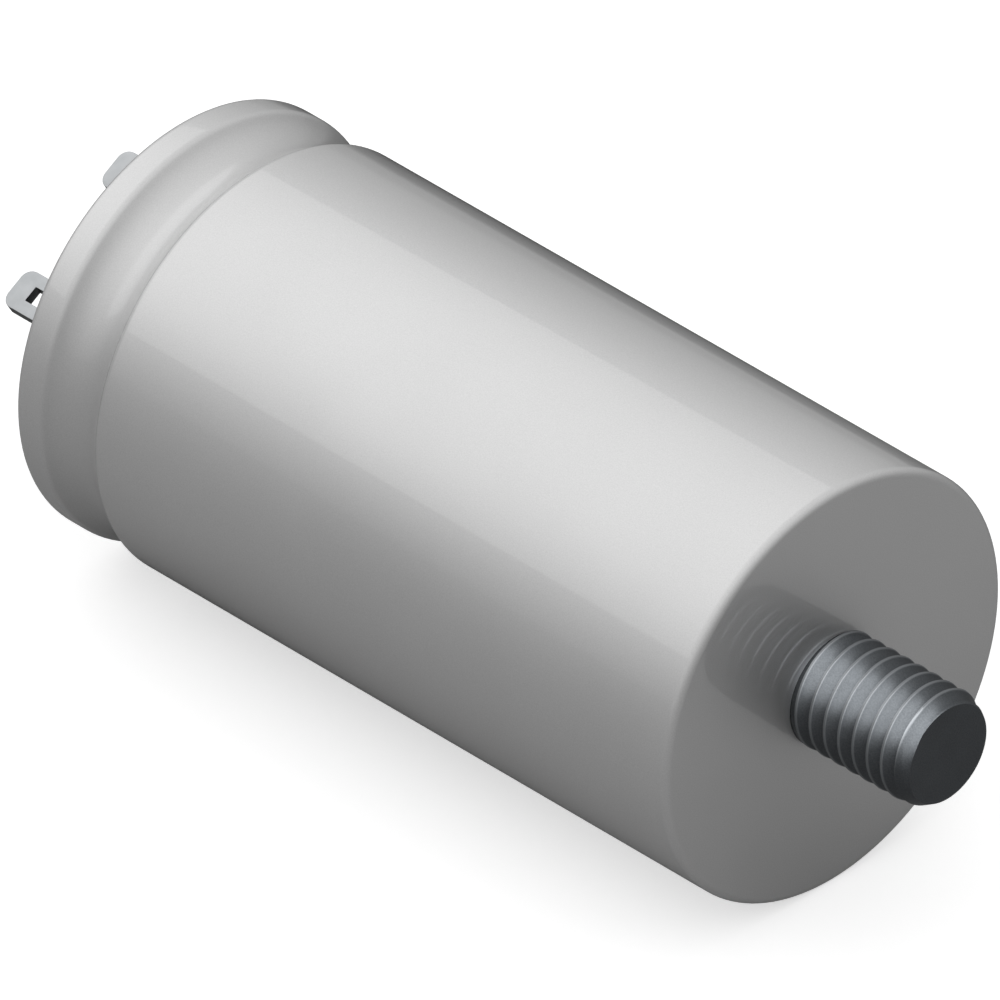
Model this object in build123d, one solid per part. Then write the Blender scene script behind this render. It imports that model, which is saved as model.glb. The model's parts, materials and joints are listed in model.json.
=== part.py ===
from build123d import *
import os
from math import acos, asin, degrees, radians, sin

# Motor-run film capacitor in a round aluminium can, fixed by one stud.
# Millimetres. The origin is the middle of the flat base, where the stud leaves the can.
# +X runs along the can's axis and out along the stud, and the terminals point to -X.

# Can, drawn from one piece of sheet
can_radius = 15.0
can_length = 58.0
can_wall = 0.5
base_thickness = 1.0
base_corner_radius = 0.55
base_inside_radius = 0.3

# Bead rolled into the can's wall, which carries the lid
bead_from_rim = 4.8
bead_width = 5.6
bead_depth = 1.4
bead_inside_radius = 0.1

# Rim curled in over the lid
curl_inside_radius = 0.1
curl_reach = 1.8

# Stud, M8 with its thread left plain here
stud_radius = 4.0
stud_length = 10.0
stud_tip_radius = 3.45
stud_tip_length = 0.95
stud_neck_radius = 3.8
stud_head_radius = 6.0
stud_head_thickness = 1.0

# Cup that insulates the winding from the base
insulator_thickness = 3.0
insulator_rim_height = 4.0

# Winding, with its core, contact layers, wrap and potting
resin_gap = 0.95
wrap_thickness = 0.3
spray_thickness = 0.4
core_radius = 4.0
core_bore_radius = 3.0

# Room between the winding and the bead, with its disc
disc_thickness = 1.0
disc_hole_radius = 1.2
headroom = 3.8

# Lid
seal_thickness = 0.6
plateau_height = 1.0
plateau_gap = 0.4
plateau_edge_radius = 0.35
deck_thickness = 3.0
skirt_wall = 1.2
skirt_length = 3.4
seat_depth = 0.5
seat_corner_radius = 0.4

# Terminals, each folded from one strip
tab_thickness = 0.8
tab_width = 2.9
tab_reach = 8.8
tab_length = 7.0
tab_tip_radius = 0.8
tab_hole_width = 1.1
tab_hole_length = 1.5
tab_hole_from_tip = 1.45
tab_bend_radius = 0.5
tab_root_width = 4.6
blades_across = 8.0
terminal_spacing = 10.0
terminal_turn = 30.0

# Rivets, and the tags under the lid
rivet_radius = 1.25
rivet_bore_radius = 0.7
rivet_bore_depth = 2.6
rivet_head_radius = 2.1
rivet_head_height = 0.6
rivet_roll_radius = 1.9
rivet_roll_height = 0.65
tag_thickness = 0.5
tag_width = 4.2
tag_hole_offset = 4.6

# Lead wires
lead_radius = 0.45
lead_bend_radius = 1.6
lead_straight = 2.6
upper_lead_offset = 8.5
lower_lead_foot = 9.0

# Clearances
slide_fit = 0.1
close_fit = 0.05

# Places along the axis, worked out from the sizes above
rim_x = -can_length
bead_x = rim_x + bead_from_rim
base_inside_x = -base_thickness
winding_base_x = base_inside_x - insulator_thickness
insulator_rim_x = winding_base_x - insulator_rim_height
disc_top_x = bead_x + bead_width / 2 + headroom
winding_top_x = disc_top_x + disc_thickness
lip_inside_x = rim_x + can_wall
flange_x = lip_inside_x + seal_thickness
plateau_x = flange_x - plateau_height
deck_inside_x = plateau_x + deck_thickness
tag_inside_x = deck_inside_x + tag_thickness
seat_x = plateau_x + seat_depth
pad_top_x = seat_x - tab_thickness
tip_x = rim_x - tab_reach

# Radii, worked out from the sizes above
can_bore = can_radius - can_wall
drop_in_radius = can_bore - slide_fit
wrap_radius = can_bore - resin_gap
winding_radius = wrap_radius - wrap_thickness
curl_radius = curl_inside_radius + can_wall
lip_radius = can_radius - curl_reach
plateau_radius = lip_radius - plateau_gap
lead_groove = 2 * (lead_radius + close_fit)

# The bead's floor is one arc that meets both shoulders without a step
bead_half = bead_width / 2
shoulder_radius = bead_inside_radius + can_wall
bead_floor_radius = (bead_half**2 + bead_depth**2) / (2 * bead_depth) - shoulder_radius
bead_centre_radius = can_radius - bead_depth + bead_floor_radius
bead_lean = degrees(asin(bead_half / (bead_floor_radius + shoulder_radius)))


def revolved(edges):
    """Solid made by turning a closed outline, drawn as (x, radius), about the can's axis."""
    return revolve(make_face(edges), Axis.X)


def prism(from_x, to_x, sketch):
    """Sketch drawn across the axis, carried from one place along it to another."""
    return extrude(Plane.YZ.offset(min(from_x, to_x)) * sketch, abs(to_x - from_x))


def disc(from_x, to_x, outer):
    """Round plate about the can's axis."""
    return prism(from_x, to_x, Circle(outer))


def ring(from_x, to_x, outer, inner):
    """Plain ring about the can's axis."""
    return prism(from_x, to_x, Circle(outer) - Circle(inner))


def bead_side(inset):
    """One side of the sheet at the bead, from the base's shoulder to the rim's."""
    shoulder = shoulder_radius - inset
    shoulder_height = can_radius - shoulder_radius
    return [
        CenterArc((bead_x + bead_half, shoulder_height), shoulder, 90, bead_lean),
        CenterArc((bead_x, bead_centre_radius), bead_floor_radius + inset, 270 - bead_lean, 2 * bead_lean),
        CenterArc((bead_x - bead_half, shoulder_height), shoulder, 90 - bead_lean, bead_lean),
    ]


def can_shell():
    """Can with its stud hole, base corner, bead and curled rim."""
    hole = stud_radius + close_fit
    corner_height = can_radius - base_corner_radius
    inner_corner_x = base_inside_x - base_inside_radius
    inner_corner_height = can_bore - base_inside_radius
    curl_x = rim_x + curl_radius
    curl_height = can_radius - curl_radius
    lip_height = lip_radius + can_wall / 2
    outside = [
        Line((0, hole), (0, corner_height)),
        CenterArc((-base_corner_radius, corner_height), base_corner_radius, 0, 90),
        Line((-base_corner_radius, can_radius), (bead_x + bead_half, can_radius)),
        *bead_side(0),
        Line((bead_x - bead_half, can_radius), (curl_x, can_radius)),
        CenterArc((curl_x, curl_height), curl_radius, 90, 90),
        Line((rim_x, curl_height), (rim_x, lip_height)),
        CenterArc((rim_x + can_wall / 2, lip_height), can_wall / 2, 180, 180),
    ]
    inside = [
        Line((lip_inside_x, lip_height), (lip_inside_x, curl_height)),
        CenterArc((curl_x, curl_height), curl_inside_radius, 90, 90),
        Line((curl_x, can_bore), (bead_x - bead_half, can_bore)),
        *bead_side(can_wall),
        Line((bead_x + bead_half, can_bore), (inner_corner_x, can_bore)),
        CenterArc((inner_corner_x, inner_corner_height), base_inside_radius, 0, 90),
        Line((base_inside_x, inner_corner_height), (base_inside_x, hole)),
        Line((base_inside_x, hole), (0, hole)),
    ]
    return revolved(outside + inside)


def mounting_stud():
    """Stud with a flat head inside the base, an undercut neck in its hole and a tapered tip."""
    head_x = base_inside_x - stud_head_thickness
    outline = Polyline(
        (head_x, 0),
        (head_x, stud_head_radius),
        (base_inside_x, stud_head_radius),
        (base_inside_x, stud_neck_radius),
        (0, stud_neck_radius),
        (0, stud_radius),
        (stud_length - stud_tip_length, stud_radius),
        (stud_length, stud_tip_radius),
        (stud_length, 0),
        close=True,
    )
    return revolved(outline)


def base_insulator():
    """Cup under the winding, with room for the stud's head and a groove for the lower lead."""
    cup = disc(base_inside_x, insulator_rim_x, drop_in_radius)
    cup = chamfer(cup.edges().sort_by(Axis.X)[-1], base_inside_radius)
    cup -= disc(winding_base_x, insulator_rim_x, wrap_radius + close_fit)
    recess_x = base_inside_x - stud_head_thickness - slide_fit
    cup -= disc(base_inside_x, recess_x, stud_head_radius + slide_fit)
    groove = Pos(0, -lower_lead_foot / 2) * SlotCenterToCenter(lower_lead_foot, lead_groove, 90)
    return cup - prism(winding_base_x, winding_base_x + lead_groove, groove)


def winding_pieces():
    """Film roll on its tube, with a contact layer at each end, the wrap and the potting."""
    bottom = winding_base_x - spray_thickness
    top = winding_top_x + spray_thickness
    return {
        "core_tube": ring(winding_base_x, winding_top_x, core_radius, core_bore_radius),
        "film_winding": ring(bottom, top, winding_radius, core_radius),
        "end_spray_bottom": ring(winding_base_x, bottom, winding_radius, core_radius),
        "end_spray_top": ring(top, winding_top_x, winding_radius, core_radius),
        "outer_wrap": ring(winding_base_x, winding_top_x, wrap_radius, winding_radius),
        "resin_fill": ring(insulator_rim_x, winding_top_x, can_bore, wrap_radius),
    }


def retaining_disc():
    """Disc above the winding, with a way through for each lead."""
    plate = ring(winding_top_x, disc_top_x, drop_in_radius, core_bore_radius)
    lead_hole = Pos(upper_lead_offset, tag_hole_offset) * Circle(disc_hole_radius)
    return plate - prism(winding_top_x, disc_top_x, lead_hole)


def terminal_deck():
    """Lid: a flange shaped to the bead, a skirt, a raised middle and two terminal seats."""
    seat_arc = bead_floor_radius + can_wall + close_fit
    plug_radius = bead_centre_radius - seat_arc
    seat_lean = degrees(acos((bead_centre_radius - drop_in_radius) / seat_arc))
    seat_end_x = bead_x - seat_arc * sin(radians(seat_lean))
    skirt_x = deck_inside_x + skirt_length
    skirt_inner = plug_radius - skirt_wall
    face = Polyline((plateau_x, 0), (plateau_x, plateau_radius), (flange_x, plateau_radius))
    flange = Polyline((flange_x, plateau_radius), (flange_x, drop_in_radius), (seat_end_x, drop_in_radius))
    seat = CenterArc((bead_x, bead_centre_radius), seat_arc, 270 - seat_lean, seat_lean)
    skirt = Polyline((bead_x, plug_radius), (skirt_x, plug_radius), (skirt_x, skirt_inner))
    underside = Polyline(
        (skirt_x, skirt_inner), (deck_inside_x, skirt_inner), (deck_inside_x, 0), (plateau_x, 0)
    )
    deck = revolved([face, flange, seat, skirt, underside])
    deck = fillet(deck.edges().sort_by(Axis.X)[0], plateau_edge_radius)
    for side in (-1, 1):
        centre = Pos(side * terminal_spacing / 2, 0)
        recess = centre * RectangleRounded(
            tab_root_width + 2 * slide_fit, blades_across + 2 * slide_fit, seat_corner_radius
        )
        rivet_hole = centre * Circle(rivet_radius + close_fit)
        deck -= prism(plateau_x, seat_x, recess)
        deck -= prism(plateau_x, deck_inside_x, rivet_hole)
    return deck


def seal_ring():
    """Rubber ring squeezed between the lid's flange and the curled rim."""
    return ring(flange_x, lip_inside_x, can_bore - curl_inside_radius, plateau_radius + close_fit)


def terminal():
    """Double push-on terminal: a cut strip folded into a U, centred on its rivet."""
    half = blades_across / 2
    inner = half - tab_thickness
    corners = [
        (tip_x, -half),
        (seat_x, -half),
        (seat_x, half),
        (tip_x, half),
        (tip_x, inner),
        (pad_top_x, inner),
        (pad_top_x, -inner),
        (tip_x, -inner),
    ]
    fold = make_face(Polyline(*corners, close=True))
    fold = fillet(fold.vertices().group_by(Axis.X)[-2], tab_bend_radius)
    fold = fillet(fold.vertices().group_by(Axis.X)[-1], tab_bend_radius + tab_thickness)
    folded = extrude(Plane.XZ * fold, tab_root_width / 2, both=True)
    cut = extrude(terminal_blank(), half, both=True)
    rivet_hole = disc(seat_x, pad_top_x, rivet_radius + close_fit)
    return (folded & cut) - rivet_hole


def terminal_blank():
    """Outline of the strip seen square on: wide root, sloping shoulders and a rounded tip."""
    shoulder_x = tip_x + tab_length
    root = tab_root_width / 2
    blade = tab_width / 2
    half_outline = [(seat_x, root), (shoulder_x, root), (shoulder_x - (root - blade), blade), (tip_x, blade)]
    other_half = [(x, -width) for x, width in reversed(half_outline)]
    blank = make_face(Polyline(*half_outline, *other_half, close=True))
    blank = fillet(blank.vertices().group_by(Axis.X)[0], tab_tip_radius)
    hole_x = tip_x + tab_hole_from_tip + tab_hole_length / 2
    return blank - Pos(hole_x, 0) * Rectangle(tab_hole_length, tab_hole_width)


def rivet():
    """Tubular rivet with a domed head on the terminal and its end rolled over the tag."""
    crown_x = pad_top_x - rivet_head_height
    end_x = tag_inside_x + rivet_roll_height
    bore_x = end_x - rivet_bore_depth
    dome = TangentArc((crown_x, 0), (pad_top_x, rivet_head_radius), tangent=(0, 1))
    body = Polyline(
        (pad_top_x, rivet_head_radius),
        (pad_top_x, rivet_radius),
        (tag_inside_x, rivet_radius),
        (tag_inside_x, rivet_roll_radius),
    )
    roll = TangentArc((tag_inside_x, rivet_roll_radius), (end_x, rivet_radius), tangent=(1, 0))
    bore = Polyline(
        (end_x, rivet_radius),
        (end_x, rivet_bore_radius),
        (bore_x, rivet_bore_radius),
        (bore_x, 0),
        (crown_x, 0),
    )
    return revolved([dome, body, roll, bore])


def inner_tag():
    """Solder tag under the lid, from the rivet to the lead."""
    tag = Pos(0, tag_hole_offset / 2) * SlotCenterToCenter(tag_hole_offset, tag_width, 90)
    tag -= Circle(rivet_radius + close_fit)
    tag -= Pos(0, tag_hole_offset) * Circle(lead_radius + close_fit)
    return prism(deck_inside_x, tag_inside_x, tag)


def wire(points):
    """Round wire along straight runs joined by equal bends."""
    path = FilletPolyline(*points, radius=lead_bend_radius)
    return sweep(Plane(path @ 0, z_dir=path % 0) * Circle(lead_radius), path)


def lead_top():
    """Lead from the upper contact layer, through the disc, to the first tag."""
    first = terminal_spacing / 2
    return wire([
        (winding_top_x, upper_lead_offset, tag_hole_offset),
        (disc_top_x - lead_straight, upper_lead_offset, tag_hole_offset),
        (tag_inside_x + lead_straight, first, tag_hole_offset),
        (deck_inside_x, first, tag_hole_offset),
    ])


def lead_bottom():
    """Lead from the lower contact layer, up the core tube, to the second tag."""
    foot_x = winding_base_x + lead_groove / 2
    second = -terminal_spacing / 2
    return wire([
        (foot_x, 0, -lower_lead_foot),
        (foot_x, 0, 0),
        (disc_top_x - lead_straight, 0, 0),
        (tag_inside_x + lead_straight, second, -tag_hole_offset),
        (deck_inside_x, second, -tag_hole_offset),
    ])


def paired(name, piece):
    """The two copies of a terminal's piece, half a turn apart about the can's axis."""
    outward = Pos(0, terminal_spacing / 2, 0) * piece
    return {name + "_right": outward, name + "_left": Rot(180, 0, 0) * outward}


# Every piece whose place round the axis follows the terminals is turned with them
turned_pieces = {
    "base_insulator": base_insulator(),
    "retaining_disc": retaining_disc(),
    "terminal_deck": terminal_deck(),
    "lead_top": lead_top(),
    "lead_bottom": lead_bottom(),
    **paired("terminal", terminal()),
    **paired("rivet", rivet()),
    **paired("inner_tag", inner_tag()),
}
pieces = {
    "can_shell": can_shell(),
    "mounting_stud": mounting_stud(),
    "seal_ring": seal_ring(),
    **winding_pieces(),
    **{name: Rot(terminal_turn, 0, 0) * piece for name, piece in turned_pieces.items()},
}

os.makedirs("parts", exist_ok=True)
for name, piece in pieces.items():
    export_step(piece, f"parts/{name}.step")
    print(name, round(piece.volume, 2))
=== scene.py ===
import json
from math import acos, asin, cos, degrees, pi, radians, sin, tan

import bpy
from mathutils import Matrix, Vector


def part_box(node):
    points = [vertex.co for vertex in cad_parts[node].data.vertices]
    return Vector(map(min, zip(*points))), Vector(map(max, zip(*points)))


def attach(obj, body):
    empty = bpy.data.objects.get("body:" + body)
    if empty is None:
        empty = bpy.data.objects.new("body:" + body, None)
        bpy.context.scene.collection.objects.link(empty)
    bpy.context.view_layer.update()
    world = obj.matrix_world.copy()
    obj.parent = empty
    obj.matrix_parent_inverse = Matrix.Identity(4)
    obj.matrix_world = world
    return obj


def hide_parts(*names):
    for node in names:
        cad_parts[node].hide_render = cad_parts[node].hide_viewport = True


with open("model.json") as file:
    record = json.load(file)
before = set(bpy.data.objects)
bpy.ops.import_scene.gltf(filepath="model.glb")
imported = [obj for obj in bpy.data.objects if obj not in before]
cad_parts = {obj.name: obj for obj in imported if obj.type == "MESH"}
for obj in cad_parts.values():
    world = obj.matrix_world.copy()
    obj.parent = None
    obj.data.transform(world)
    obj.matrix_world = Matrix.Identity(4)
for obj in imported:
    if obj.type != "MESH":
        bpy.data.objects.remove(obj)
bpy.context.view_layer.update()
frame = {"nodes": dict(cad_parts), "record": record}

# Metres. The part lies along X: its base is at x = 0, with the stud to +X and the rim to -X.
MM = 0.001
can_low, can_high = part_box("can_shell")
deck_low, deck_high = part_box("terminal_deck")
RIM_X = can_low.x
CAN_RADIUS = can_high.y
CAN_WALL = 0.5 * MM
BASE_THICKNESS = 1.0 * MM
BASE_CORNER = 0.55 * MM
CURL_RADIUS = 0.6 * MM
LIP_RADIUS = CAN_RADIUS - 1.8 * MM

# Rolled bead
BEAD_X = RIM_X + 4.8 * MM
BEAD_HALF = 2.8 * MM
BEAD_DEPTH = 1.4 * MM
BEAD_SHOULDER = 0.6 * MM
BEAD_FLOOR = (BEAD_HALF**2 + BEAD_DEPTH**2) / (2 * BEAD_DEPTH) - BEAD_SHOULDER
BEAD_LEAN = degrees(asin(BEAD_HALF / (BEAD_FLOOR + BEAD_SHOULDER)))
BEAD_CENTRE = CAN_RADIUS - BEAD_DEPTH + BEAD_FLOOR

# M8 stud with a coarse thread
STUD_RADIUS = 4.0 * MM
STUD_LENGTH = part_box("mounting_stud")[1].x
STUD_HOLE = 3.93 * MM
STUD_NECK = 3.8 * MM
STUD_HEAD = 6.0 * MM
STUD_HEAD_THICKNESS = 1.0 * MM
STUD_COLLAR = 0.33 * MM
STUD_COLLAR_RADIUS = 3.9 * MM
STUD_TIP_RADIUS = 3.45 * MM
STUD_TIP_LENGTH = 0.95 * MM
THREAD_PITCH = 1.25 * MM
THREAD_CREST = 0.13 * MM
THREAD_CREST_DROP = 0.03 * MM
# Depth below the crest over which the stud's colour turns paler: a painted highlight along the
# crests
CREST_HIGHLIGHT_DEPTH = 0.1 * MM
THREAD_SHIFT = 0.22 * MM
THREAD_TURNS = 11
# The thread's hollow front is an arc, with the angles in degrees at which it leaves crest and root
THREAD_HOLLOW = 2.2 * MM
THREAD_AT_CREST = 38
THREAD_AT_ROOT = 64
THREAD_DEPTH = THREAD_HOLLOW * (sin(radians(THREAD_AT_ROOT)) - sin(radians(THREAD_AT_CREST)))
THREAD_RUNOUT_LEAN = 30
THREAD_ROOT_OVERLAP = 0.05 * MM

# Terminals, folded from strip, half a turn apart
TERMINAL_TURN = radians(30)
TERMINAL_OFFSET = 5.0 * MM
TAB_TIP_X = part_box("terminal_left")[0].x
TAB_SEAT_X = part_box("terminal_left")[1].x
TAB_THICKNESS = 0.8 * MM
TAB_WIDTH = 2.9 * MM
TAB_ROOT_WIDTH = 4.6 * MM
TAB_LENGTH = 7.0 * MM
TAB_TIP_CORNER = 0.8 * MM
TAB_BEND = 0.5 * MM
TAB_HOLE_WIDTH = 1.1 * MM
TAB_HOLE_LENGTH = 1.5 * MM
TAB_HOLE_FROM_TIP = 1.45 * MM
BLADES_ACROSS = 8.0 * MM
TAB_EDGE = 0.05 * MM
RIVET_HOLE = 1.3 * MM

# Moulded lid
PLATEAU_HEIGHT = 1.0 * MM
PLATEAU_GAP = 0.4 * MM
PLATEAU_EDGE = 0.35 * MM
DECK_THICKNESS = 3.0 * MM
SKIRT_WALL = 1.2 * MM
PLUG_RADIUS = 13.05 * MM
SEAT_DEPTH = 0.5 * MM
SEAT_GAP = 0.1 * MM
SEAT_CORNER = 0.4 * MM
DECK_EDGE = 0.06 * MM
DECK_TO_BEAD = 0.05 * MM

# How finely and how crisply the pieces are modelled, with angles in degrees
CAN_STEPS = 144
THREAD_STEPS = 96
HOLE_STEPS = 48
CRISP_FROM = 30
THREAD_CRISP_FROM = 24
BEVEL_FROM = 40
MERGE_WITHIN = MM / 5000
PICK_WITHIN = MM / 100
CUT_BEYOND = MM
BAR_BEYOND = 0.1 * MM

# The camera looks the way the photo does, through a lens so long that it hardly tapers
VIEW_FROM = Vector((1, -1, 1)).normalized()
VIEW_TARGET = Vector((-19.6, -9.97, 9.63)) * MM
VIEW_DISTANCE = 2.609
LENS_MM = 1500
CLIP_START, CLIP_END = 0.1, 10

# Light, as linear strengths where 1 is white, with angles in degrees. Azimuths are from +X
ROOM_AT_HORIZON = 0.38
ROOM_OVERHEAD = 0.83
SOFT_AZIMUTH = -90
SOFT_HEIGHT = 45
SOFT_FULL_WITHIN = 10
SOFT_ENDS_AT = 45
SOFT_STRENGTH = 0.12
# The panel lies between two angles about the can's axis and two directions along it, where -1 is -X
PANEL_STRENGTH = 0.42
PANEL_ACROSS = (radians(-67), radians(44.4))
PANEL_ALONG = (-1.01, -0.47)
# The floor, and the card on it that grows paler with the distance from its darkest place
FLOOR_SIZE = 12
PAPER_LIFT = 0.55
CARD_LIFT = 0.02 * MM
CARD_DARKEST = (-80 * MM, 80 * MM, 0)
CARD_DARK_WITHIN, CARD_PALE_FROM = 40 * MM, 110 * MM
CARD_DARK, CARD_PALE = 0.06, 0.37
LAMP_AZIMUTH = -25
LAMP_HEIGHT = 45
LAMP_HALF_ANGLE = 41
LAMP_DISTANCE = 0.8
LAMP_STRENGTH = 3.4


def linear(hex_colour):
    """sRGB hex text as a linear colour with alpha."""
    def channel(value):
        return value / 12.92 if value <= 0.04045 else ((value + 0.055) / 1.055) ** 2.4

    return (*(channel(int(hex_colour[i:i + 2], 16) / 255) for i in (1, 3, 5)), 1.0)


def add_node(tree, kind, settings=None, inputs=None):
    """Adds a shader node. Settings are its own fields, and inputs are values or links by socket."""
    node = tree.nodes.new(kind)
    for field, value in (settings or {}).items():
        setattr(node, field, value)
    for socket, value in (inputs or {}).items():
        if isinstance(value, bpy.types.NodeSocket):
            tree.links.new(value, node.inputs[socket])
        else:
            node.inputs[socket].default_value = value
    return node


def new_material(name):
    """Material with an empty node tree."""
    material = bpy.data.materials.new(name)
    material.use_nodes = True
    material.node_tree.nodes.clear()
    return material, material.node_tree


def drawn_aluminium():
    """Soft aluminium drawn into a can: an even satin with faint die lines along the wall, under a
    thin burnished skin that mirrors the room, and is duller on the base than on the drawn wall. The
    metal's grain and the lines are under 0.05 mm, and are drawn coarser so that they show."""
    material, tree = new_material("drawn_aluminium")
    place = add_node(tree, "ShaderNodeTexCoord").outputs["Object"]
    satin_place = add_node(tree, "ShaderNodeVectorMath", {"operation": "DIVIDE"}, {
        0: place, 1: (0.08 * MM,) * 3,
    })
    satin = add_node(tree, "ShaderNodeTexNoise", None, {
        "Vector": satin_place.outputs[0], "Scale": 1, "Detail": 1,
    })
    line_place = add_node(tree, "ShaderNodeVectorMath", {"operation": "DIVIDE"}, {
        0: place, 1: (12 * MM, 0.2 * MM, 0.2 * MM),
    })
    lines = add_node(tree, "ShaderNodeTexNoise", None, {
        "Vector": line_place.outputs[0], "Scale": 1, "Detail": 3,
    })
    patch_place = add_node(tree, "ShaderNodeVectorMath", {"operation": "DIVIDE"}, {
        0: place, 1: (9 * MM,) * 3,
    })
    patches = add_node(tree, "ShaderNodeTexNoise", None, {
        "Vector": patch_place.outputs[0], "Scale": 1, "Detail": 2,
    })
    tone = add_node(tree, "ShaderNodeValToRGB", None, {"Fac": satin.outputs["Fac"]})
    tone.color_ramp.elements[0].position, tone.color_ramp.elements[1].position = 0.3, 0.7
    tone.color_ramp.elements[0].color = linear("#DDDDDD")
    tone.color_ramp.elements[1].color = linear("#E5E5E5")
    rough = add_node(tree, "ShaderNodeMapRange", None, {
        "Value": patches.outputs["Fac"], "From Min": 0.3, "From Max": 0.7, "To Min": 0.48,
        "To Max": 0.52,
    })
    relief = add_node(tree, "ShaderNodeBump", None, {
        "Height": lines.outputs["Fac"], "Strength": 0.4, "Distance": 0.003 * MM,
    })
    along = add_node(tree, "ShaderNodeSeparateXYZ", None, {"Vector": place})
    skin = add_node(tree, "ShaderNodeMapRange", None, {
        "Value": along.outputs["X"], "From Min": -1 * MM, "From Max": 0, "To Min": 0.03,
        "To Max": 0.06,
    })
    shader = add_node(tree, "ShaderNodeBsdfPrincipled", None, {
        "Base Color": tone.outputs["Color"], "Metallic": 1.0, "Roughness": rough.outputs[0],
        "Normal": relief.outputs[0], "Coat Weight": 1.0, "Coat Roughness": skin.outputs[0],
        "Coat IOR": 1.77,
    })
    add_node(tree, "ShaderNodeOutputMaterial", None, {"Surface": shader.outputs[0]})
    return material


def blued_steel():
    """Dark plated steel, thread-rolled: a cool dark grey, half bright, with fine grit in the
    plating, and a painted highlight that paints the crests paler. The grit is about 0.02 mm, drawn
    at 0.1 mm."""
    material, tree = new_material("blued_steel")
    place = add_node(tree, "ShaderNodeTexCoord").outputs["Object"]
    grit_place = add_node(tree, "ShaderNodeVectorMath", {"operation": "DIVIDE"}, {
        0: place, 1: (0.1 * MM,) * 3,
    })
    grit = add_node(tree, "ShaderNodeTexNoise", None, {
        "Vector": grit_place.outputs[0], "Scale": 1, "Detail": 2,
    })
    patch_place = add_node(tree, "ShaderNodeVectorMath", {"operation": "DIVIDE"}, {
        0: place, 1: (1.5 * MM,) * 3,
    })
    patches = add_node(tree, "ShaderNodeTexNoise", None, {
        "Vector": patch_place.outputs[0], "Scale": 1, "Detail": 3,
    })
    tone = add_node(tree, "ShaderNodeValToRGB", None, {"Fac": grit.outputs["Fac"]})
    tone.color_ramp.elements[0].position, tone.color_ramp.elements[1].position = 0.3, 0.7
    tone.color_ramp.elements[0].color = linear("#4D5053")
    tone.color_ramp.elements[1].color = linear("#5A5D60")
    across = add_node(tree, "ShaderNodeVectorMath", {"operation": "MULTIPLY"}, {
        0: place, 1: (0, 1, 1),
    })
    radius = add_node(tree, "ShaderNodeVectorMath", {"operation": "LENGTH"}, {0: across.outputs[0]})
    # Painted highlight: the outer part of each crest is painted a paler grey, standing in for the
    # light the crests catch
    painted_crest_highlight = add_node(tree, "ShaderNodeMapRange", None, {
        "Value": radius.outputs["Value"], "From Min": STUD_RADIUS - CREST_HIGHLIGHT_DEPTH,
        "From Max": STUD_RADIUS - THREAD_CREST_DROP,
    })
    steel_with_crest_highlight = add_node(tree, "ShaderNodeMix", {"data_type": "RGBA"}, {
        "Factor": painted_crest_highlight.outputs[0], 6: tone.outputs["Color"], 7: linear("#7E8184"),
    })
    rough = add_node(tree, "ShaderNodeMapRange", None, {
        "Value": patches.outputs["Fac"], "From Min": 0.3, "From Max": 0.7, "To Min": 0.36,
        "To Max": 0.44,
    })
    relief = add_node(tree, "ShaderNodeBump", None, {
        "Height": grit.outputs["Fac"], "Strength": 0.3, "Distance": 0.004 * MM,
    })
    shader = add_node(tree, "ShaderNodeBsdfPrincipled", None, {
        "Base Color": steel_with_crest_highlight.outputs[2], "Metallic": 1.0, "Roughness": rough.outputs[0],
        "Normal": relief.outputs[0],
    })
    add_node(tree, "ShaderNodeOutputMaterial", None, {"Surface": shader.outputs[0]})
    return material


def tin_plated_brass():
    """Brass strip with matt tin over it: cool and pale, with rolling lines along the strip and a
    cloudy bloom. The lines are about 0.03 mm apart, and are drawn at 0.12 mm."""
    material, tree = new_material("tin_plated_brass")
    place = add_node(tree, "ShaderNodeTexCoord").outputs["Object"]
    line_place = add_node(tree, "ShaderNodeVectorMath", {"operation": "DIVIDE"}, {
        0: place, 1: (4 * MM, 0.12 * MM, 0.12 * MM),
    })
    lines = add_node(tree, "ShaderNodeTexNoise", None, {
        "Vector": line_place.outputs[0], "Scale": 1, "Detail": 2,
    })
    bloom_place = add_node(tree, "ShaderNodeVectorMath", {"operation": "DIVIDE"}, {
        0: place, 1: (1.2 * MM,) * 3,
    })
    bloom = add_node(tree, "ShaderNodeTexNoise", None, {
        "Vector": bloom_place.outputs[0], "Scale": 1, "Detail": 3,
    })
    tone = add_node(tree, "ShaderNodeValToRGB", None, {"Fac": bloom.outputs["Fac"]})
    tone.color_ramp.elements[0].position, tone.color_ramp.elements[1].position = 0.3, 0.7
    tone.color_ramp.elements[0].color = linear("#C3C6C8")
    tone.color_ramp.elements[1].color = linear("#CCCED0")
    rough = add_node(tree, "ShaderNodeMapRange", None, {
        "Value": bloom.outputs["Fac"], "From Min": 0.3, "From Max": 0.7, "To Min": 0.52,
        "To Max": 0.44,
    })
    relief = add_node(tree, "ShaderNodeBump", None, {
        "Height": lines.outputs["Fac"], "Strength": 0.4, "Distance": 0.003 * MM,
    })
    shader = add_node(tree, "ShaderNodeBsdfPrincipled", None, {
        "Base Color": tone.outputs["Color"], "Metallic": 1.0, "Roughness": rough.outputs[0],
        "Normal": relief.outputs[0],
    })
    add_node(tree, "ShaderNodeOutputMaterial", None, {"Surface": shader.outputs[0]})
    return material


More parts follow.
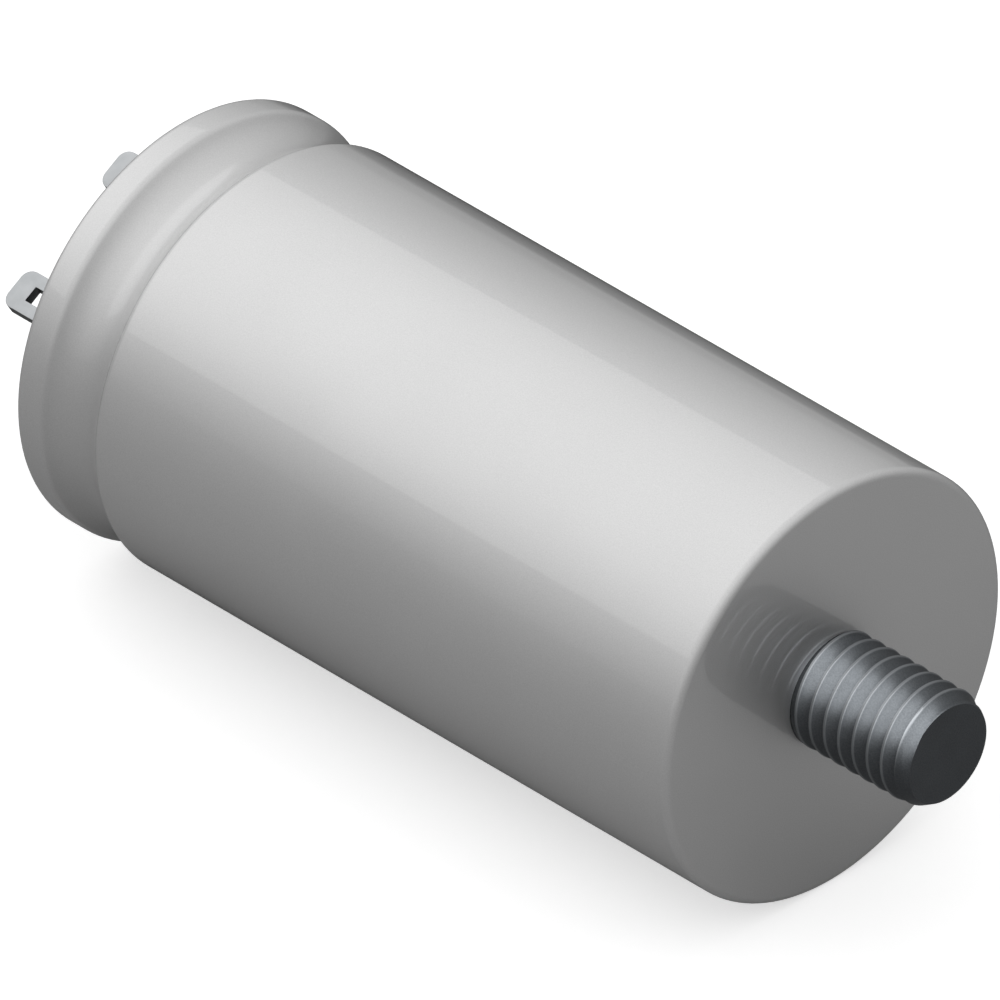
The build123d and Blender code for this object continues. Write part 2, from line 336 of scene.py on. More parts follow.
def sheared_edge():
    """Where the press cut through the plated strip: torn, darker metal with a fine ragged grain.
    The grain is about 0.02 mm, and is drawn at 0.1 mm."""
    material, tree = new_material("sheared_edge")
    place = add_node(tree, "ShaderNodeTexCoord").outputs["Object"]
    tear_place = add_node(tree, "ShaderNodeVectorMath", {"operation": "DIVIDE"}, {
        0: place, 1: (0.1 * MM,) * 3,
    })
    tears = add_node(tree, "ShaderNodeTexNoise", None, {
        "Vector": tear_place.outputs[0], "Scale": 1, "Detail": 2,
    })
    tone = add_node(tree, "ShaderNodeValToRGB", None, {"Fac": tears.outputs["Fac"]})
    tone.color_ramp.elements[0].position, tone.color_ramp.elements[1].position = 0.3, 0.7
    tone.color_ramp.elements[0].color = linear("#686A6B")
    tone.color_ramp.elements[1].color = linear("#787979")
    relief = add_node(tree, "ShaderNodeBump", None, {
        "Height": tears.outputs["Fac"], "Strength": 0.5, "Distance": 0.01 * MM,
    })
    shader = add_node(tree, "ShaderNodeBsdfPrincipled", None, {
        "Base Color": tone.outputs["Color"], "Metallic": 1.0, "Roughness": 0.45,
        "Normal": relief.outputs[0],
    })
    add_node(tree, "ShaderNodeOutputMaterial", None, {"Surface": shader.outputs[0]})
    return material


def tinned_copper_wire():
    """Drawn copper wire dipped in tin: pale and fairly bright, warm where the tin is thin."""
    material, tree = new_material("tinned_copper_wire")
    place = add_node(tree, "ShaderNodeTexCoord").outputs["Object"]
    dip_place = add_node(tree, "ShaderNodeVectorMath", {"operation": "DIVIDE"}, {
        0: place, 1: (0.6 * MM,) * 3,
    })
    dip = add_node(tree, "ShaderNodeTexNoise", None, {
        "Vector": dip_place.outputs[0], "Scale": 1, "Detail": 3,
    })
    tone = add_node(tree, "ShaderNodeValToRGB", None, {"Fac": dip.outputs["Fac"]})
    tone.color_ramp.elements[0].position, tone.color_ramp.elements[1].position = 0.3, 0.6
    tone.color_ramp.elements[0].color = linear("#D0B79F")
    tone.color_ramp.elements[1].color = linear("#D6D5D0")
    relief = add_node(tree, "ShaderNodeBump", None, {
        "Height": dip.outputs["Fac"], "Strength": 0.5, "Distance": 0.02 * MM,
    })
    shader = add_node(tree, "ShaderNodeBsdfPrincipled", None, {
        "Base Color": tone.outputs["Color"], "Metallic": 1.0, "Roughness": 0.3,
        "Normal": relief.outputs[0],
    })
    add_node(tree, "ShaderNodeOutputMaterial", None, {"Surface": shader.outputs[0]})
    return material


def moulded_polyester():
    """Black glass-filled polyester, injection moulded: a fine spark-eroded grain from the mould and
    paler flow marks from the glass."""
    material, tree = new_material("moulded_polyester")
    place = add_node(tree, "ShaderNodeTexCoord").outputs["Object"]
    grain_place = add_node(tree, "ShaderNodeVectorMath", {"operation": "DIVIDE"}, {
        0: place, 1: (0.15 * MM,) * 3,
    })
    grain = add_node(tree, "ShaderNodeTexNoise", None, {
        "Vector": grain_place.outputs[0], "Scale": 1, "Detail": 3,
    })
    flow_place = add_node(tree, "ShaderNodeVectorMath", {"operation": "DIVIDE"}, {
        0: place, 1: (3 * MM, 1.5 * MM, 4 * MM),
    })
    flow = add_node(tree, "ShaderNodeTexNoise", None, {
        "Vector": flow_place.outputs[0], "Scale": 1, "Detail": 4, "Distortion": 0.6,
    })
    tone = add_node(tree, "ShaderNodeValToRGB", None, {"Fac": flow.outputs["Fac"]})
    tone.color_ramp.elements[0].position, tone.color_ramp.elements[1].position = 0.3, 0.75
    tone.color_ramp.elements[0].color = linear("#19191B")
    tone.color_ramp.elements[1].color = linear("#303032")
    rough = add_node(tree, "ShaderNodeMapRange", None, {
        "Value": grain.outputs["Fac"], "From Min": 0.3, "From Max": 0.7, "To Min": 0.5,
        "To Max": 0.64,
    })
    relief = add_node(tree, "ShaderNodeBump", None, {
        "Height": grain.outputs["Fac"], "Strength": 0.6, "Distance": 0.02 * MM,
    })
    shader = add_node(tree, "ShaderNodeBsdfPrincipled", None, {
        "Base Color": tone.outputs["Color"], "Roughness": rough.outputs[0],
        "Normal": relief.outputs[0],
    })
    add_node(tree, "ShaderNodeOutputMaterial", None, {"Surface": shader.outputs[0]})
    return material


def pressed_rubber():
    """Black rubber ring: dull, with a grey dusting of the talc that keeps it from sticking."""
    material, tree = new_material("pressed_rubber")
    place = add_node(tree, "ShaderNodeTexCoord").outputs["Object"]
    dust_place = add_node(tree, "ShaderNodeVectorMath", {"operation": "DIVIDE"}, {
        0: place, 1: (0.5 * MM,) * 3,
    })
    dust = add_node(tree, "ShaderNodeTexNoise", None, {
        "Vector": dust_place.outputs[0], "Scale": 1, "Detail": 5,
    })
    tone = add_node(tree, "ShaderNodeValToRGB", None, {"Fac": dust.outputs["Fac"]})
    tone.color_ramp.elements[0].position, tone.color_ramp.elements[1].position = 0.4, 0.75
    tone.color_ramp.elements[0].color = linear("#161617")
    tone.color_ramp.elements[1].color = linear("#2E2E2D")
    relief = add_node(tree, "ShaderNodeBump", None, {
        "Height": dust.outputs["Fac"], "Strength": 0.5, "Distance": 0.02 * MM,
    })
    shader = add_node(tree, "ShaderNodeBsdfPrincipled", None, {
        "Base Color": tone.outputs["Color"], "Roughness": 0.85, "Normal": relief.outputs[0],
    })
    add_node(tree, "ShaderNodeOutputMaterial", None, {"Surface": shader.outputs[0]})
    return material


def natural_polypropylene():
    """Uncoloured polypropylene mouldings: milky and waxy, with soft flow streaks and light just
    under the surface."""
    material, tree = new_material("natural_polypropylene")
    place = add_node(tree, "ShaderNodeTexCoord").outputs["Object"]
    flow_place = add_node(tree, "ShaderNodeVectorMath", {"operation": "DIVIDE"}, {
        0: place, 1: (2.5 * MM,) * 3,
    })
    flow = add_node(tree, "ShaderNodeTexNoise", None, {
        "Vector": flow_place.outputs[0], "Scale": 1, "Detail": 3, "Distortion": 0.8,
    })
    tone = add_node(tree, "ShaderNodeValToRGB", None, {"Fac": flow.outputs["Fac"]})
    tone.color_ramp.elements[0].position, tone.color_ramp.elements[1].position = 0.3, 0.7
    tone.color_ramp.elements[0].color = linear("#D2D1C8")
    tone.color_ramp.elements[1].color = linear("#E2E1DA")
    shader = add_node(tree, "ShaderNodeBsdfPrincipled", None, {
        "Base Color": tone.outputs["Color"], "Roughness": 0.42, "Subsurface Weight": 0.15,
        "Subsurface Radius": (1.0, 0.95, 0.85), "Subsurface Scale": 0.8 * MM,
    })
    add_node(tree, "ShaderNodeOutputMaterial", None, {"Surface": shader.outputs[0]})
    return material


def metallised_film():
    """Wound film with a vacuum-deposited metal coat: a silver roll with fine rings of layers. A
    layer is 0.006 mm thick, and the rings are drawn at 0.12 mm so that they show."""
    material, tree = new_material("metallised_film")
    place = add_node(tree, "ShaderNodeTexCoord").outputs["Object"]
    across = add_node(tree, "ShaderNodeVectorMath", {"operation": "MULTIPLY"}, {
        0: place, 1: (0, 1, 1),
    })
    radius = add_node(tree, "ShaderNodeVectorMath", {"operation": "LENGTH"}, {0: across.outputs[0]})
    layer = add_node(tree, "ShaderNodeMath", {"operation": "DIVIDE"}, {
        0: radius.outputs["Value"], 1: 0.12 * MM,
    })
    rings = add_node(tree, "ShaderNodeTexNoise", {"noise_dimensions": "1D"}, {
        "W": layer.outputs[0], "Scale": 1, "Detail": 2,
    })
    tone = add_node(tree, "ShaderNodeValToRGB", None, {"Fac": rings.outputs["Fac"]})
    tone.color_ramp.elements[0].position, tone.color_ramp.elements[1].position = 0.3, 0.7
    tone.color_ramp.elements[0].color = linear("#A9ACB0")
    tone.color_ramp.elements[1].color = linear("#D0D2D4")
    relief = add_node(tree, "ShaderNodeBump", None, {
        "Height": rings.outputs["Fac"], "Strength": 0.4, "Distance": 0.01 * MM,
    })
    shader = add_node(tree, "ShaderNodeBsdfPrincipled", None, {
        "Base Color": tone.outputs["Color"], "Metallic": 0.9, "Roughness": 0.28,
        "Normal": relief.outputs[0],
    })
    add_node(tree, "ShaderNodeOutputMaterial", None, {"Surface": shader.outputs[0]})
    return material


def clear_wrap_film():
    """Clear polyester tape round the winding: glossy and faintly straw-coloured, with long wrinkles
    round the roll."""
    material, tree = new_material("clear_wrap_film")
    place = add_node(tree, "ShaderNodeTexCoord").outputs["Object"]
    fold_place = add_node(tree, "ShaderNodeVectorMath", {"operation": "DIVIDE"}, {
        0: place, 1: (1.2 * MM, 12 * MM, 12 * MM),
    })
    folds = add_node(tree, "ShaderNodeTexNoise", None, {
        "Vector": fold_place.outputs[0], "Scale": 1, "Detail": 3,
    })
    tone = add_node(tree, "ShaderNodeValToRGB", None, {"Fac": folds.outputs["Fac"]})
    tone.color_ramp.elements[0].position, tone.color_ramp.elements[1].position = 0.3, 0.7
    tone.color_ramp.elements[0].color = linear("#C4C2B2")
    tone.color_ramp.elements[1].color = linear("#D8D6C8")
    relief = add_node(tree, "ShaderNodeBump", None, {
        "Height": folds.outputs["Fac"], "Strength": 0.5, "Distance": 0.05 * MM,
    })
    shader = add_node(tree, "ShaderNodeBsdfPrincipled", None, {
        "Base Color": tone.outputs["Color"], "Roughness": 0.18, "Normal": relief.outputs[0],
    })
    add_node(tree, "ShaderNodeOutputMaterial", None, {"Surface": shader.outputs[0]})
    return material


def sprayed_zinc():
    """Zinc arc-sprayed on the winding's ends: a dull grey crust of frozen drops, 0.1 to 0.3 mm,
    with painted shade in the hollows between them.
    """
    material, tree = new_material("sprayed_zinc")
    place = add_node(tree, "ShaderNodeTexCoord").outputs["Object"]
    drop_place = add_node(tree, "ShaderNodeVectorMath", {"operation": "DIVIDE"}, {
        0: place, 1: (0.25 * MM,) * 3,
    })
    drops = add_node(tree, "ShaderNodeTexVoronoi", None, {
        "Vector": drop_place.outputs[0], "Scale": 1,
    })
    # Painted shade: the grey darkens away from each drop's middle, into the hollows between drops
    tone = add_node(tree, "ShaderNodeValToRGB", None, {"Fac": drops.outputs["Distance"]})
    tone.color_ramp.elements[0].position, tone.color_ramp.elements[1].position = 0.1, 0.8
    tone.color_ramp.elements[0].color = linear("#A6A7A6")
    tone.color_ramp.elements[1].color = linear("#7B7C7B")
    relief = add_node(tree, "ShaderNodeBump", {"invert": True}, {
        "Height": drops.outputs["Distance"], "Strength": 0.8, "Distance": 0.06 * MM,
    })
    shader = add_node(tree, "ShaderNodeBsdfPrincipled", None, {
        "Base Color": tone.outputs["Color"], "Metallic": 1.0, "Roughness": 0.62,
        "Normal": relief.outputs[0],
    })
    add_node(tree, "ShaderNodeOutputMaterial", None, {"Surface": shader.outputs[0]})
    return material


def potting_resin():
    """Cast polyurethane potting: dark amber and glossy, with cloudy swirls from the mixing."""
    material, tree = new_material("potting_resin")
    place = add_node(tree, "ShaderNodeTexCoord").outputs["Object"]
    swirl_place = add_node(tree, "ShaderNodeVectorMath", {"operation": "DIVIDE"}, {
        0: place, 1: (5 * MM,) * 3,
    })
    swirls = add_node(tree, "ShaderNodeTexNoise", None, {
        "Vector": swirl_place.outputs[0], "Scale": 1, "Detail": 3, "Distortion": 1.5,
    })
    tone = add_node(tree, "ShaderNodeValToRGB", None, {"Fac": swirls.outputs["Fac"]})
    tone.color_ramp.elements[0].position, tone.color_ramp.elements[1].position = 0.3, 0.7
    tone.color_ramp.elements[0].color = linear("#5B5036")
    tone.color_ramp.elements[1].color = linear("#75694B")
    shader = add_node(tree, "ShaderNodeBsdfPrincipled", None, {
        "Base Color": tone.outputs["Color"], "Roughness": 0.22, "Subsurface Weight": 0.1,
        "Subsurface Radius": (1.0, 0.7, 0.4), "Subsurface Scale": 1.0 * MM,
    })
    add_node(tree, "ShaderNodeOutputMaterial", None, {"Surface": shader.outputs[0]})
    return material


def arc(centre, radius, start, end, steps):
    """Points (x, radius) along an arc, with angles in degrees from +X."""
    turns = [radians(start + (end - start) * i / steps) for i in range(steps + 1)]
    return [(centre[0] + radius * cos(t), centre[1] + radius * sin(t)) for t in turns]


def chain(name, points):
    """Line of points (x, height) drawn in the XZ plane, left in edit mode with all selected."""
    bpy.ops.object.select_all(action="DESELECT")
    bpy.ops.mesh.primitive_plane_add(size=MM, location=(points[0][0], 0, points[0][1]))
    piece = bpy.context.object
    piece.name = piece.data.name = name
    bpy.ops.object.transform_apply(location=True, rotation=True, scale=True)
    bpy.ops.object.mode_set(mode="EDIT")
    bpy.ops.mesh.merge(type="CENTER")
    for here, there in zip(points, points[1:]):
        step = (there[0] - here[0], 0, there[1] - here[1])
        bpy.ops.mesh.extrude_vertices_move(TRANSFORM_OT_translate={"value": step})
    bpy.ops.mesh.select_all(action="SELECT")
    return piece


def close_seams():
    """Merges what a spin or a winding left double, and turns all faces outwards."""
    bpy.ops.mesh.select_all(action="SELECT")
    bpy.ops.mesh.remove_doubles(threshold=MERGE_WITHIN)
    bpy.ops.mesh.normals_make_consistent(inside=False)
    bpy.ops.object.mode_set(mode="OBJECT")


def turned(name, outline, steps=CAN_STEPS):
    """Outline, drawn as (x, radius), spun once about the can's axis."""
    piece = chain(name, outline)
    bpy.ops.mesh.spin(steps=steps, angle=2 * pi, center=(0, 0, 0), axis=(1, 0, 0))
    close_seams()
    return piece


def apply_modifier(piece, kind, **settings):
    """Adds a modifier with its settings and applies it at once."""
    modifier = piece.modifiers.new(kind.lower(), kind)
    for field, value in settings.items():
        setattr(modifier, field, value)
    bpy.ops.object.select_all(action="DESELECT")
    piece.select_set(True)
    bpy.context.view_layer.objects.active = piece
    bpy.ops.object.modifier_apply(modifier=modifier.name)


def cut(piece, tool, operation="DIFFERENCE"):
    """Boolean of a piece with a tool, which is then deleted."""
    apply_modifier(piece, "BOOLEAN", object=tool, operation=operation, solver="EXACT")
    bpy.data.objects.remove(tool)


def block(low, high):
    """Cutting block between two corners."""
    bpy.ops.object.select_all(action="DESELECT")
    middle = (Vector(low) + Vector(high)) / 2
    bpy.ops.mesh.primitive_cube_add(size=1, location=middle, scale=Vector(high) - Vector(low))
    bpy.ops.object.transform_apply(location=True, rotation=True, scale=True)
    return bpy.context.object


def hole_cutter(name, low_x, high_x):
    """Round bar that cuts a rivet's hole on the axis."""
    return turned(name, [
        (low_x, 0), (low_x, RIVET_HOLE), (high_x, RIVET_HOLE), (high_x, 0),
    ], HOLE_STEPS)


def bevel(piece, width):
    """Takes the sharpness off a piece's edges."""
    apply_modifier(
        piece, "BEVEL", width=width, segments=2, limit_method="ANGLE",
        angle_limit=radians(BEVEL_FROM),
    )


def terminal_place(turn):
    """Where a terminal stands: moved out from the axis and turned round it."""
    return Matrix.Rotation(turn, 4, "X") @ Matrix.Translation((0, TERMINAL_OFFSET, 0))


def aimed(azimuth, height):
    """Direction at an azimuth from +X and a height above the floor, both in degrees."""
    turn = radians(azimuth)
    return Vector((cos(turn), sin(turn), tan(radians(height)))).normalized()


def shade(piece, angle=CRISP_FROM):
    """Smooth shading, with edges sharper than the angle kept crisp."""
    bpy.ops.object.select_all(action="DESELECT")
    piece.select_set(True)
    bpy.context.view_layer.objects.active = piece
    bpy.ops.object.shade_smooth_by_angle(angle=radians(angle))


def dress(piece, node, material):
    """Puts a finished piece in the place of a CAD node."""
    piece.data.materials.clear()
    piece.data.materials.append(material)
    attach(piece, "root")
    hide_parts(node)


def bead_side(inset):
    """One side of the sheet at the bead, from the base's shoulder to the rim's."""
    height = CAN_RADIUS - BEAD_SHOULDER
    shoulder = BEAD_SHOULDER - inset
    floor = arc((BEAD_X, BEAD_CENTRE), BEAD_FLOOR + inset, 270 + BEAD_LEAN, 270 - BEAD_LEAN, 24)
    return [
        *arc((BEAD_X + BEAD_HALF, height), shoulder, 90, 90 + BEAD_LEAN, 6),
        *floor[1:-1],
        *arc((BEAD_X - BEAD_HALF, height), shoulder, 90 - BEAD_LEAN, 90, 6),
    ]


def aluminium_can():
    """Can drawn from one sheet: base with the stud's hole, rolled bead and curled rim."""
    curl_centre = (RIM_X + CURL_RADIUS, CAN_RADIUS - CURL_RADIUS)
    lip_centre = (RIM_X + CAN_WALL / 2, LIP_RADIUS + CAN_WALL / 2)
    outside = [
        (0, STUD_HOLE),
        *arc((-BASE_CORNER, CAN_RADIUS - BASE_CORNER), BASE_CORNER, 0, 90, 8),
        *bead_side(0),
        *arc(curl_centre, CURL_RADIUS, 90, 180, 8),
        *arc(lip_centre, CAN_WALL / 2, 180, 360, 8),
    ]
    inside = [
        *arc(curl_centre, CURL_RADIUS - CAN_WALL, 180, 90, 4),
        *bead_side(CAN_WALL)[::-1],
        (-BASE_THICKNESS, CAN_RADIUS - CAN_WALL),
        (-BASE_THICKNESS, STUD_HOLE),
        (0, STUD_HOLE),
    ]
    can = turned("aluminium_can", outside + inside)
    shade(can)
    return can


def threaded_stud():
    """M8 stud: one pitch of thread wound up, cut to a tapered bar, then set on neck and head."""
    crest = THREAD_SHIFT - THREAD_PITCH
    # One pitch: root, steep back, narrow crest, and a front that hollows out down to the next root
    lean = radians(THREAD_AT_CREST)
    hollow_centre = (
        crest + THREAD_CREST / 2 + THREAD_HOLLOW * cos(lean),
        STUD_RADIUS - THREAD_CREST_DROP + THREAD_HOLLOW * sin(lean),
    )
    front = arc(hollow_centre, THREAD_HOLLOW, 180 + THREAD_AT_CREST, 180 + THREAD_AT_ROOT, 8)
    root = (front[-1][0] - THREAD_PITCH, front[-1][1])
    stud = chain("threaded_stud", [root, (crest - THREAD_CREST / 2, STUD_RADIUS), *front])
    bpy.ops.object.mode_set(mode="OBJECT")
    apply_modifier(
        stud, "SCREW", axis="X", angle=2 * pi, screw_offset=THREAD_PITCH,
        iterations=THREAD_TURNS, steps=THREAD_STEPS, render_steps=THREAD_STEPS,
    )
    bpy.ops.object.mode_set(mode="EDIT")
    bpy.ops.mesh.select_all(action="SELECT")
    bpy.ops.mesh.remove_doubles(threshold=MERGE_WITHIN)
    bpy.ops.mesh.fill_holes(sides=0)
    close_seams()
    over = STUD_RADIUS + BAR_BEYOND
    tip_slope = (STUD_RADIUS - STUD_TIP_RADIUS) / STUD_TIP_LENGTH
    over_x = STUD_LENGTH - (over - STUD_TIP_RADIUS) / tip_slope
    bar = turned("bar", [
        (0, 0), (0, over), (over_x, over), (STUD_LENGTH, STUD_TIP_RADIUS), (STUD_LENGTH, 0),
    ])
    cut(stud, bar, "INTERSECT")
    head_x = -BASE_THICKNESS - STUD_HEAD_THICKNESS
    runout = STUD_COLLAR + THREAD_DEPTH * tan(radians(THREAD_RUNOUT_LEAN))
    foot = turned("foot", [
        (head_x, 0), (head_x, STUD_HEAD),
        (-BASE_THICKNESS, STUD_HEAD), (-BASE_THICKNESS, STUD_NECK),
        (0, STUD_NECK), (0, STUD_COLLAR_RADIUS), (STUD_COLLAR, STUD_COLLAR_RADIUS),
        (runout, STUD_RADIUS - THREAD_DEPTH - THREAD_ROOT_OVERLAP), (runout, 0),
    ])
    cut(stud, foot, "UNION")
    shade(stud, THREAD_CRISP_FROM)
    return stud


def pick(piece, test):
    """Selects the vertices whose place passes a test, and leaves the piece in edit mode."""
    bpy.ops.object.select_all(action="DESELECT")
    piece.select_set(True)
    bpy.context.view_layer.objects.active = piece
    bpy.ops.object.mode_set(mode="EDIT")
    bpy.ops.mesh.select_mode(type="VERT")
    bpy.ops.mesh.select_all(action="DESELECT")
    bpy.ops.object.mode_set(mode="OBJECT")
    for vertex in piece.data.vertices:
        vertex.select = test(vertex.co)
    bpy.ops.object.mode_set(mode="EDIT")


def folded_terminal():
    """Double push-on terminal: the seat is bent up at both ends, drawn to blades and pierced."""
    half_wall = TAB_THICKNESS / 2
    bend = TAB_BEND + half_wall
    seat_x = TAB_SEAT_X - half_wall
    fold_z = BLADES_ACROSS / 2 - half_wall - bend
    shoulder_x = TAB_TIP_X + TAB_LENGTH
    taper = (TAB_ROOT_WIDTH - TAB_WIDTH) / 2
    bpy.ops.object.select_all(action="DESELECT")
    bpy.ops.mesh.primitive_plane_add(size=1, location=(seat_x, 0, 0), rotation=(0, pi / 2, 0))
    strip = bpy.context.object
    strip.name = strip.data.name = "folded_terminal"
    strip.scale = (2 * fold_z, TAB_ROOT_WIDTH, 1)
    bpy.ops.object.transform_apply(location=True, rotation=True, scale=True)
    for side in (1, -1):
        pick(strip, lambda place: place.z * side > fold_z - PICK_WITHIN)
        bpy.ops.mesh.spin(
            steps=8, angle=side * pi / 2, center=(seat_x - bend, 0, side * fold_z), axis=(0, 1, 0)
        )
        moves = (
            (shoulder_x - (seat_x - bend), 1),
            (-taper, TAB_WIDTH / TAB_ROOT_WIDTH),
            (TAB_TIP_X - (shoulder_x - taper), 1),
        )
        for run, narrowing in moves:
            bpy.ops.mesh.extrude_region_move(TRANSFORM_OT_translate={"value": (run, 0, 0)})
            bpy.ops.transform.resize(value=(1, narrowing, 1))
        bpy.ops.object.mode_set(mode="OBJECT")
    pick(strip, lambda place: place.x < TAB_TIP_X + PICK_WITHIN)
    bpy.ops.mesh.bevel(offset=TAB_TIP_CORNER, segments=8, affect="VERTICES")
    close_seams()
    apply_modifier(strip, "SOLIDIFY", thickness=TAB_THICKNESS, offset=0)
    hole_low = TAB_TIP_X + TAB_HOLE_FROM_TIP
    hole_high = hole_low + TAB_HOLE_LENGTH
    half_hole = TAB_HOLE_WIDTH / 2
    cut(strip, block((hole_low, -half_hole, -BLADES_ACROSS), (hole_high, half_hole, BLADES_ACROSS)))
    cut(strip, hole_cutter("punch", TAB_SEAT_X - CUT_BEYOND, TAB_SEAT_X + CUT_BEYOND))
    bevel(strip, TAB_EDGE)
    shade(strip)
    return strip


def bare_edges(terminal, turn, material):
    """Gives a terminal's cut edges, which lie across the strip's own surface, their torn metal."""
    terminal.data.materials.append(material)
    blade_end = TAB_SEAT_X - TAB_BEND - 2 * TAB_THICKNESS
    for face in terminal.data.polygons:
        facing = Matrix.Rotation(-turn, 3, "X") @ face.normal
        cut_edge = abs(facing.y) > 0.5 or (abs(facing.z) < 0.5 and face.center.x < blade_end)
        face.material_index = int(cut_edge)


def seat_on_deck(piece, name, turn):
    """Copy of a terminal's piece, with its own mesh, in its place on the lid."""
    copy = bpy.data.objects.new(name, piece.data.copy())
    bpy.context.collection.objects.link(copy)
    copy.data.name = name
    copy.data.transform(terminal_place(turn))
    return copy


def seat_cutter():
    """Block with rounded corners that sinks one terminal's seat into the lid."""
    width, length = TAB_ROOT_WIDTH / 2 + SEAT_GAP, BLADES_ACROSS / 2 + SEAT_GAP
    box = block(
        (deck_low.x - CUT_BEYOND, -width, -length), (deck_low.x + SEAT_DEPTH, width, length)
    )
    bpy.ops.object.mode_set(mode="EDIT")
    bpy.ops.mesh.select_mode(type="EDGE")
    bpy.ops.mesh.select_all(action="DESELECT")
    bpy.ops.object.mode_set(mode="OBJECT")
    for edge in box.data.edges:
        ends = [box.data.vertices[i].co.x for i in edge.vertices]
        edge.select = abs(ends[0] - ends[1]) > PICK_WITHIN
    bpy.ops.object.mode_set(mode="EDIT")
    bpy.ops.mesh.bevel(offset=SEAT_CORNER, segments=5)
    bpy.ops.object.mode_set(mode="OBJECT")
    return box


def moulded_deck():
    """Moulded lid: flange on the bead, raised middle, a sunk seat and a hole for each terminal."""
    plateau = LIP_RADIUS - PLATEAU_GAP
    flange_x = deck_low.x + PLATEAU_HEIGHT
    seat_radius = BEAD_FLOOR + CAN_WALL + DECK_TO_BEAD
    seat_lean = degrees(acos((BEAD_CENTRE - deck_high.y) / seat_radius))
    deck = turned("moulded_deck", [
        (deck_low.x, 0),
        *arc((deck_low.x + PLATEAU_EDGE, plateau - PLATEAU_EDGE), PLATEAU_EDGE, 180, 90, 6),
        (flange_x, plateau),
        (flange_x, deck_high.y),
        *arc((BEAD_X, BEAD_CENTRE), seat_radius, 270 - seat_lean, 270, 10),
        (deck_high.x, PLUG_RADIUS),
        (deck_high.x, PLUG_RADIUS - SKIRT_WALL),
        (deck_low.x + DECK_THICKNESS, PLUG_RADIUS - SKIRT_WALL),
        (deck_low.x + DECK_THICKNESS, 0),
    ])
    for turn in (TERMINAL_TURN, TERMINAL_TURN + pi):
        for tool in (seat_cutter(), hole_cutter("drill", deck_low.x - CUT_BEYOND, deck_high.x)):
            tool.data.transform(terminal_place(turn))
            cut(deck, tool)
    bevel(deck, DECK_EDGE)
    shade(deck)
    return deck


def make_camera():
    """Long-lens camera at the photo's viewing angle."""
    data = bpy.data.cameras.new("photo_view")
    camera = bpy.data.objects.new("photo_view", data)
    bpy.context.collection.objects.link(camera)
    data.lens = LENS_MM
    data.clip_start, data.clip_end = CLIP_START, CLIP_END
    camera.location = VIEW_TARGET + VIEW_FROM * VIEW_DISTANCE
    camera.rotation_mode = "QUATERNION"
    camera.rotation_quaternion = VIEW_FROM.to_track_quat("Z", "Y")
    bpy.context.scene.camera = camera


def white_paper():
    """Matt white paper, lifted to full white only where the camera, metal or glass sees it."""
    material, tree = new_material("white_paper")
    paper = add_node(tree, "ShaderNodeBsdfDiffuse", None, {"Color": linear("#EEEEEE")})
    rays = add_node(tree, "ShaderNodeLightPath")
    seen = rays.outputs["Is Camera Ray"]
    for other in ("Is Glossy Ray", "Is Transmission Ray"):
        seen = add_node(
            tree, "ShaderNodeMath", {"operation": "MAXIMUM"}, {0: seen, 1: rays.outputs[other]}
        ).outputs[0]
    lift = add_node(tree, "ShaderNodeMath", {"operation": "MULTIPLY"}, {0: seen, 1: PAPER_LIFT})
    glow = add_node(tree, "ShaderNodeEmission", None, {"Strength": lift.outputs[0]})
    both = add_node(tree, "ShaderNodeAddShader", None, {0: paper.outputs[0], 1: glow.outputs[0]})
    add_node(tree, "ShaderNodeOutputMaterial", None, {"Surface": both.outputs[0]})
    return material


def grey_card():
    """Card for the metal to mirror: a dark patch behind the can, and paler all round it."""
    material, tree = new_material("graded_card")
    place = add_node(tree, "ShaderNodeTexCoord").outputs["Object"]
    moved = add_node(tree, "ShaderNodeVectorMath", {"operation": "SUBTRACT"}, {
        0: place, 1: CARD_DARKEST,
    })
    away = add_node(tree, "ShaderNodeVectorMath", {"operation": "LENGTH"}, {0: moved.outputs[0]})
    grey = add_node(tree, "ShaderNodeMapRange", None, {
        "Value": away.outputs["Value"], "From Min": CARD_DARK_WITHIN, "From Max": CARD_PALE_FROM,
        "To Min": CARD_DARK, "To Max": CARD_PALE,
    })
    paper = add_node(tree, "ShaderNodeBsdfDiffuse", None, {"Color": grey.outputs[0]})
    add_node(tree, "ShaderNodeOutputMaterial", None, {"Surface": paper.outputs[0]})
    return material


